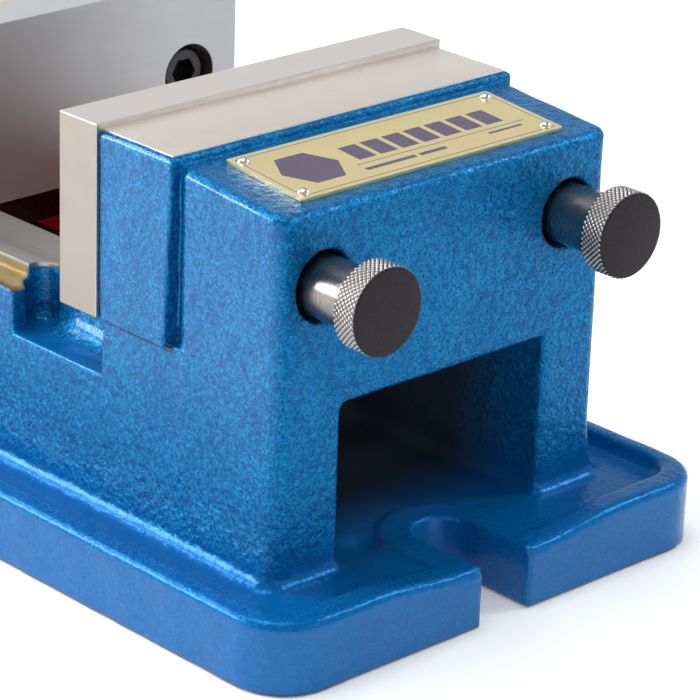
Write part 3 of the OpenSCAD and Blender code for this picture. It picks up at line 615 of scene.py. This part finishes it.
def metal(name, colour, dark, rough=(0.26, 0.4), grain=(1, 1, 1), scale=900, amount=0.12,
          metallic=1.0, wear=None, stain=0.25, crest_wear_and_highlight=None, shaded_sides=None):
    """Metal or plain material with grain, haze and blotches between colour and dark."""
    n = Nodes(name)
    grain_tex = n.noise(scale, 4.0, stretch=grain, rough=0.6)
    haze = n.noise(38, 3.0)
    blotch = n.noise(140, 2.0, shift=(3, 1, 2))
    base = n.mix(n.math("MULTIPLY", n.span(grain_tex, 0.3, 0.72), 0.55), colour, dark)
    base = n.mix(n.math("MULTIPLY", n.span(haze, 0.45, 0.75), stain), base, dark)
    if wear is not None:
        base = n.mix(n.math("MULTIPLY", n.edges(0.52, 0.6), 0.7), base, wear)
    if crest_wear_and_highlight is not None:
        # Bright crests of a knurl, partly wear and partly a painted highlight, found by their
        # distance from the screw's axis
        x, y, z = n.axes()
        out = [n.math("SUBTRACT", n.math("ABSOLUTE", x), KNOB_X * MM),
               n.math("SUBTRACT", z, KNOB_Z * MM)]
        reach = n.math("SQRT", n.math("ADD", *(n.math("MULTIPLY", v, v) for v in out)))
        base = n.mix(n.span(reach, (KNOB_R - 0.38) * MM, (KNOB_R - 0.1) * MM), base, crest_wear_and_highlight)
    if shaded_sides is not None:
        # Painted shade: upright faces get darker tints than the top
        fx, fy, fz = n.facing()
        for side, tint in zip((fx, fy), shaded_sides):
            base = n.mix(n.span(n.math("ABSOLUTE", side), 0.7, 0.9), base,
                         n.mix(n.span(haze, 0.3, 0.7), tint, tuple(c * 0.95 for c in tint)))
    gloss = n.blend(n.span(grain_tex, 0.3, 0.7), *rough)
    gloss = n.math("ADD", gloss, n.math("MULTIPLY", n.math("SUBTRACT", blotch, 0.5), 0.1))
    n.bump((grain_tex, amount, 0.00006), (haze, 0.05, 0.0004))
    return n.set(Base_Color=base, Roughness=gloss, Metallic=metallic)


MAT = {
    "enamel": enamel("hammertone_enamel"),
    "enamel_jaw": enamel("hammertone_enamel_jaw", carriage=True),
    "enamel_bed": enamel("hammertone_enamel_bed", bed=True),
    "ground": metal("ground_steel", (0.78, 0.735, 0.70), (0.72, 0.68, 0.64),
                    grain=(0.02, 1, 1), scale=2600, amount=0.04, rough=(0.36, 0.44), stain=0.18,
                    shaded_sides=((0.352, 0.310, 0.274), (0.48, 0.46, 0.45))),
    # Painted shade: a darker, cooler copy of the ground steel for the moving plate
    "front": metal("ground_steel_shaded", (0.70, 0.70, 0.71), (0.63, 0.635, 0.65),
                   grain=(0.02, 1, 1), scale=2600, amount=0.04, rough=(0.38, 0.46), stain=0.3,
                   shaded_sides=((0.352, 0.310, 0.274), (0.44, 0.44, 0.45))),
    "pad": metal("ground_pad", (0.82, 0.765, 0.69), (0.75, 0.695, 0.62),
                 grain=(0.02, 1, 1), scale=2600, amount=0.04, rough=(0.38, 0.46), stain=0.2),
    "way": metal("ground_ways", (0.41, 0.39, 0.37), (0.34, 0.32, 0.305),
                 grain=(1, 0.02, 1), scale=2600, amount=0.05, rough=(0.34, 0.42), stain=0.3),
    "black": metal("black_oxide", (0.045, 0.043, 0.045), (0.028, 0.027, 0.028),
                   rough=(0.24, 0.36), scale=800, amount=0.08, metallic=0.85,
                   wear=(0.14, 0.13, 0.125), stain=0.4),
    "knob": metal("knob_oxide", (0.025, 0.022, 0.025), (0.019, 0.017, 0.019),
                  rough=(0.24, 0.32), scale=900, amount=0.06, metallic=0.9, stain=0.3,
                  crest_wear_and_highlight=(0.46, 0.44, 0.42)),
    "shank": metal("turned_shank", (0.29, 0.262, 0.243), (0.18, 0.160, 0.148),
                   grain=(0.05, 1, 0.05), rough=(0.23, 0.33), scale=2400, amount=0.08,
                   stain=0.5),
    "primer": metal("red_primer", (0.60, 0.034, 0.018), (0.42, 0.020, 0.012),
                    rough=(0.30, 0.45), scale=700, amount=0.3, metallic=0.0),
    "print": metal("printed_slate", (0.085, 0.062, 0.115), (0.070, 0.052, 0.095),
                   rough=(0.45, 0.55), scale=1500, amount=0.05, metallic=0.0),
    "rubber": metal("seal_rubber", (0.016, 0.016, 0.016), (0.024, 0.024, 0.024),
                    rough=(0.5, 0.65), metallic=0.0),
    "brass": metal("brass_sheet", (0.92, 0.78, 0.43), (0.84, 0.69, 0.35),
                   grain=(0.03, 1, 1), scale=1500, amount=0.04, rough=(0.34, 0.42)),
    "nickel": metal("nickel_plate", (0.72, 0.70, 0.67), (0.6, 0.58, 0.55), rough=(0.14, 0.22)),
    "bearing": metal("bearing_steel", (0.62, 0.62, 0.63), (0.5, 0.5, 0.51), rough=(0.15, 0.25)),
    "fitting": metal("brass_fitting", (0.70, 0.53, 0.24), (0.55, 0.4, 0.17), rough=(0.2, 0.32)),
    "felt": metal("oiled_felt", (0.16, 0.145, 0.12), (0.08, 0.072, 0.06),
                  rough=(0.85, 0.95), metallic=0.0, scale=2500, amount=0.9),
    "zinc": metal("zinc_sheet", (0.60, 0.61, 0.63), (0.5, 0.51, 0.53), rough=(0.26, 0.38)),
    "screw": metal("screw_steel", (0.50, 0.49, 0.48), (0.34, 0.33, 0.31), rough=(0.22, 0.34)),
    "bronze": metal("sintered_bronze", (0.56, 0.38, 0.18), (0.42, 0.27, 0.12),
                    rough=(0.35, 0.48), scale=1800, amount=0.3),
    "plastic": metal("phenolic", (0.018, 0.018, 0.02), (0.026, 0.026, 0.028),
                     rough=(0.14, 0.24), metallic=0.0),
}

# ---------------------------------------------------------------- lathed and swept pieces


def lathe(points, count, centre, twist=None):
    """Closed ring mesh round +Y through centre; points are (radius, y) with the first and last
    on the axis. twist(radius, angle, y) may change a radius."""
    cx, cz = centre
    rings, verts, faces = [], [], []
    angles = np.arange(count) * 2 * np.pi / count
    for radius, y in points:
        if radius < 1e-6:
            rings.append([len(verts)])
            verts.append((cx, y, cz))
            continue
        rr = np.full(count, radius) if twist is None else twist(radius, angles, y)
        start = len(verts)
        verts += [(cx + q * math.sin(t), y, cz + q * math.cos(t)) for q, t in zip(rr, angles)]
        rings.append(list(range(start, start + count)))
    for p, q in zip(rings, rings[1:]):
        for k in range(count):
            m = (k + 1) % count
            if len(p) == 1:
                faces.append((p[0], q[m], q[k]))
            elif len(q) == 1:
                faces.append((p[k], p[m], q[0]))
            else:
                faces.append((p[k], p[m], q[m], q[k]))
    return verts, faces


def poly_piece(name, verts, faces, body, material, sharp=35):
    bm = bmesh.new()
    points = [bm.verts.new([c * MM for c in v]) for v in verts]
    for face in faces:
        bm.faces.new([points[k] for k in face])
    return add_piece(name, close_bmesh(name, bm), body, material, sharp)


CRISP = 28  # degrees; sharper edges of the ground pieces stay sharp


def bevel_edges(bm, edges, width):
    bmesh.ops.bevel(bm, geom=edges, offset=width * MM, segments=2, profile=0.6, affect="EDGES")


def crisp_box(name, lo, hi, bevel, body, material):
    """Box with small bevelled edges."""
    bm = bmesh.new()
    bmesh.ops.create_cube(bm, size=1)
    for v in bm.verts:
        v.co = Vector([(lo[i] + hi[i]) / 2 + v.co[i] * (hi[i] - lo[i]) for i in range(3)]) * MM
    bevel_edges(bm, bm.edges[:], bevel)
    return add_piece(name, close_bmesh(name, bm), body, material, CRISP)


def slab(name, outline, z0, z1, bevel, body, material):
    """Flat plate with a plan outline and small bevelled edges."""
    bm = bmesh.new()
    base = bm.faces.new([bm.verts.new((px * MM, py * MM, z0 * MM)) for px, py in outline])
    top = bmesh.ops.extrude_face_region(bm, geom=[base])
    rise = [v for v in top["geom"] if isinstance(v, bmesh.types.BMVert)]
    bmesh.ops.translate(bm, verts=rise, vec=(0, 0, (z1 - z0) * MM))
    edges = [e for e in bm.edges if e.calc_face_angle(0) > 0.5]
    bevel_edges(bm, edges, bevel)
    return add_piece(name, close_bmesh(name, bm), body, material, CRISP)


# Bed casting, its ground ways and its ground pad
bed = add_piece("bed_casting", casting_mesh("bed_casting", *make_bed()), "bed",
                MAT["enamel_bed"])
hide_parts("body_casting")
for side, s in (("left", 1), ("right", -1)):
    arc = [math.radians(k) for k in range(-80, -235, -8)]
    outline = [(WAY_IN, FRONT_Y), (WAY_OUT, FRONT_Y)]
    outline += [(HOLE_X + HOLE_R * math.cos(t), HOLE_Y + HOLE_R * math.sin(t)) for t in arc]
    outline += [(POCKET_IN, JAW_Y - 36.3), (POCKET_IN, JAW_Y), (WAY_IN, JAW_Y)]
    way = slab(f"way_{side}", [(s * px, py) for px, py in outline], WAY_Z - 1.7, WAY_Z, 0.18,
               "bed", MAT["way"])
    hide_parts("body_casting")

pad = crisp_box("fixed_jaw_pad", (-62.5, JAW_Y, PAD_Z - 1.0), (62.5, JAW_Y + 29.0, PAD_Z),
                0.03, "bed", MAT["pad"])
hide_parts("body_casting")

# Moving jaw
jaw = add_piece("moving_jaw_casting", casting_mesh("moving_jaw_casting", *make_moving()),
                "carriage", MAT["enamel_jaw"])
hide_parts("moving_jaw")
back = moving_hi[1]
pad = crisp_box("moving_jaw_pad", (-61.2, back - 28.0, PAD_Z - 1.2), (61.2, back, PAD_Z),
                0.25, "carriage", MAT["pad"])
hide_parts("moving_jaw")


# Draw screws with a cut diamond knurl
def draw_screw(side):
    lo, hi = box_mm(f"draw_screw_{side}")
    cx, cz = (lo[0] + hi[0]) / 2, (lo[2] + hi[2]) / 2
    head_l, rim = 8, 0.6
    head_y, end_y, head_r, shank_r = hi[1] - head_l, hi[1], KNOB_R, 8.75
    n_u, rows, starts = 400, 34, 50

    def knurl(radius, angles, y):
        if radius < head_r - 0.45 or not head_y + 0.5 < y < end_y - 0.5:
            return np.full(len(angles), radius)
        u = angles * starts / (2 * np.pi)
        v = (y - head_y) / (2 * np.pi * head_r / starts)
        p = np.abs(((u + v) % 1) - 0.5) * 2
        q = np.abs(((u - v) % 1) - 0.5) * 2
        return radius - 0.42 * (1 - np.minimum(np.minimum(p, q) * 1.9, 1))

    shank = [
        (0, lo[1]), (7.4, lo[1]), (8, lo[1] + 0.6), (8, JAW_Y + 2), (shank_r, JAW_Y + 2.6),
        (shank_r, REAR_Y - 6), (shank_r, head_y + 0.4), (0, head_y + 0.4),
    ]
    back_rim = [(0, head_y), (head_r - 0.9, head_y), (head_r - 0.5, head_y + 0.12),
                (head_r, head_y + rim)]
    band = [(head_r, head_y + rim + (head_l - 2 * rim) * k / rows) for k in range(1, rows)]
    face = [(head_r, end_y - 0.7), (head_r - 0.3, end_y - 0.30), (head_r - 0.62, end_y - 0.04),
            (head_r - 0.9, end_y), (0, end_y)]
    verts, faces = lathe(back_rim + band + face, n_u, (cx, cz), knurl)
    knob = poly_piece(f"draw_screw_knob_{side}", verts, faces, f"draw_{side}", MAT["knob"],
                      sharp=50)
    verts, faces = lathe(shank, 96, (cx, cz))
    rod = poly_piece(f"draw_screw_shank_{side}", verts, faces, f"draw_{side}", MAT["shank"],
                     sharp=30)
    for piece in (knob, rod):
        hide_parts(f"draw_screw_{side}")


for side in ("left", "right"):
    draw_screw(side)

# Plain printed marks on the nameplate: a border, a hexagon, blocks and rules
PLATE_MID = 21.4
tilt_y, tilt_z = math.cos(SLOPE), -math.sin(SLOPE)
mid_y = TOP_Y + PLATE_MID
mid_z = TOP_Z - PLATE_MID * math.tan(SLOPE)


def on_plate(px, py, rise):
    return (px, mid_y + py * tilt_y - rise * tilt_z, mid_z + py * tilt_z + rise * tilt_y)


def marks(name, outlines):
    """Thin solid marks on the plate; each outline is a list of (x, y) on its face."""
    verts, faces = [], []
    for outline in outlines:
        first, count = len(verts), len(outline)
        verts += [on_plate(*point, 0.97) for point in outline]
        verts += [on_plate(*point, 1.03) for point in outline]
        faces.append([first + k for k in range(count)])
        faces.append([first + count + k for k in range(count)])
        for k in range(count):
            m = (k + 1) % count
            faces.append([first + k, first + m, first + count + m, first + count + k])
    poly_piece(name, verts, faces, "bed", MAT["print"])


def bar(x0, x1, y0, y1):
    """Outline of a block or line in the plate's own x and y, in mm."""
    return [(x0, y0), (x1, y0), (x1, y1), (x0, y1)]


def ring(cx, cy, radius, count):
    steps = [2 * math.pi * k / count for k in range(count)]
    return [(cx + radius * math.cos(t), cy + radius * math.sin(t)) for t in steps]


edge_x, edge_y, line = 47.3, 13.7, 0.3
frame_bars = [bar(-edge_x, edge_x, s * edge_y - line / 2, s * edge_y + line / 2) for s in (-1, 1)]
frame_bars += [bar(s * edge_x - line / 2, s * edge_x + line / 2, -edge_y, edge_y)
               for s in (-1, 1)]
title = [bar(17.5 - 8.1 * k, 11.2 - 8.1 * k, -5.6, 3.4) for k in range(7)]
small = [bar(20.5, 2.0, 8.4, 9.9), bar(0.5, -9.5, 8.4, 9.9), bar(-27.0, -40.0, 7.6, 8.6)]
rule = [bar(20.5, -43.0, 5.6, 5.9)]
marks("nameplate_border", frame_bars + rule)
marks("nameplate_bars", title + small)
marks("nameplate_hexagon", [ring(33, 0.5, 10.2, 6)])


# ---------------------------------------------------------------- CAD nodes that stay

# Node: (material, bevel in mm)
KEPT = {
    "fixed_jaw_plate": ("ground", 0.35), "moving_jaw_plate": ("front", 0.35),
    "draw_seal_left": ("rubber", 0), "draw_seal_right": ("rubber", 0),
    "nameplate": ("brass", 0.12), "nameplate_screws": ("nickel", 0),
    "jaw_plate_screws": ("black", 0.25), "angular_nut": ("primer", 0.6),
    "half_ball": ("bearing", 0.2), "jaw_set_screw": ("black", 0.2),
    "keeper_left": ("bearing", 0.4), "keeper_right": ("bearing", 0.4),
    "keeper_screws": ("black", 0.15), "oilers": ("fitting", 0.2),
    "wiper_felts": ("felt", 0.4), "wiper_holders": ("zinc", 0.25),
    "wiper_screws": ("nickel", 0.12), "lead_screw": ("screw", 0.4),
    "stop_ring": ("black", 0.2), "thrust_race_rear": ("bearing", 0.25),
    "thrust_cage": ("fitting", 0.1), "thrust_balls": ("bearing", 0),
    "thrust_race_front": ("bearing", 0.25), "screw_support": ("enamel", 1.2),
    "support_screws": ("black", 0.2), "support_bush": ("bronze", 0.3),
    "lock_collar": ("black", 0.5), "collar_set_screw": ("black", 0.12),
    "drain_plugs": ("black", 0.2), "crank_arm": ("black", 1.0),
    "grip_spindle": ("screw", 0.5), "crank_grip": ("plastic", 0.6),
    "grip_washer": ("bearing", 0.15),
}
for name, (kind, bevel) in KEPT.items():
    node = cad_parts[name]
    node.data.materials.clear()
    node.data.materials.append(MAT[kind])
    weld = node.modifiers.new("weld", "WELD")
    weld.merge_threshold = 1e-6
    if bevel:
        flat = node.modifiers.new("flat", "DECIMATE")
        flat.decimate_type = "DISSOLVE"
        flat.angle_limit = math.radians(0.5)
        edge = node.modifiers.new("edges", "BEVEL")
        edge.width = bevel * MM
        edge.segments = 2
        edge.limit_method = "ANGLE"
        edge.angle_limit = math.radians(32)
        edge.use_clamp_overlap = True
    even = node.modifiers.new("even", "WEIGHTED_NORMAL")
    even.weight = 50
    even.keep_sharp = True

# ---------------------------------------------------------------- floor, lights, world

mesh = bpy.data.meshes.new("floor")
bm = bmesh.new()
bmesh.ops.create_grid(bm, x_segments=1, y_segments=1, size=6)
bm.to_mesh(mesh)
bm.free()
floor = bpy.data.objects.new("floor", mesh)
bpy.context.scene.collection.objects.link(floor)
floor.location.z = -0.0002
n = Nodes("floor_white")
n.shader.inputs["Specular IOR Level"].default_value = 0.2
mesh.materials.append(n.set(Base_Color=(0.93, 0.93, 0.935), Roughness=0.7,
                            Emission_Color=(1.0, 1.0, 1.0), Emission_Strength=0.12))


def lamp(name, offset, size, power):
    """Soft light aimed at the fixed jaw; offset is its place from the jaw's foot, in metres."""
    data = bpy.data.lights.new(name, "AREA")
    data.shape = "RECTANGLE"
    data.size, data.size_y = size
    data.energy = power
    light = bpy.data.objects.new(name, data)
    bpy.context.scene.collection.objects.link(light)
    jaw_foot = Vector((0, JAW_Y * MM, 0))
    light.location = jaw_foot + Vector(offset)
    light.rotation_mode = "QUATERNION"
    aim = Vector((0, 0, 0.05)) - Vector(offset)
    light.rotation_quaternion = aim.to_track_quat("-Z", "Y")


lamp("top", (0.25, -0.2, 1.5), (0.9, 0.9), 12)
lamp("side", (1.05, -1.1, 0.55), (0.5, 0.5), 16)
lamp("rear", (-0.5, 1.7, 0.9), (0.6, 0.4), 2)
lamp("strip", (0.55, -1.0, 0.96), (0.3, 0.3), 5)
lamp("glint", (-0.96, 0.55, 1.0), (0.3, 0.3), 5)

world = bpy.data.worlds.new("studio")
world.use_nodes = True
bpy.context.scene.world = world
tree = world.node_tree
background = tree.nodes["Background"]
coord = tree.nodes.new("ShaderNodeTexCoord")
split = tree.nodes.new("ShaderNodeSeparateXYZ")
ramp = tree.nodes.new("ShaderNodeValToRGB")
tree.links.new(coord.outputs["Generated"], split.inputs[0])
tree.links.new(split.outputs["Z"], ramp.inputs[0])
tree.links.new(ramp.outputs[0], background.inputs["Color"])
ramp.color_ramp.elements[0].position = 0.0
ramp.color_ramp.elements[0].color = (1.0, 1.0, 1.0, 1)
ramp.color_ramp.elements[1].position = 0.8
ramp.color_ramp.elements[1].color = (0.42, 0.43, 0.45, 1)
background.inputs["Strength"].default_value = 1.0

bpy.context.scene.view_settings.view_transform = "Standard"
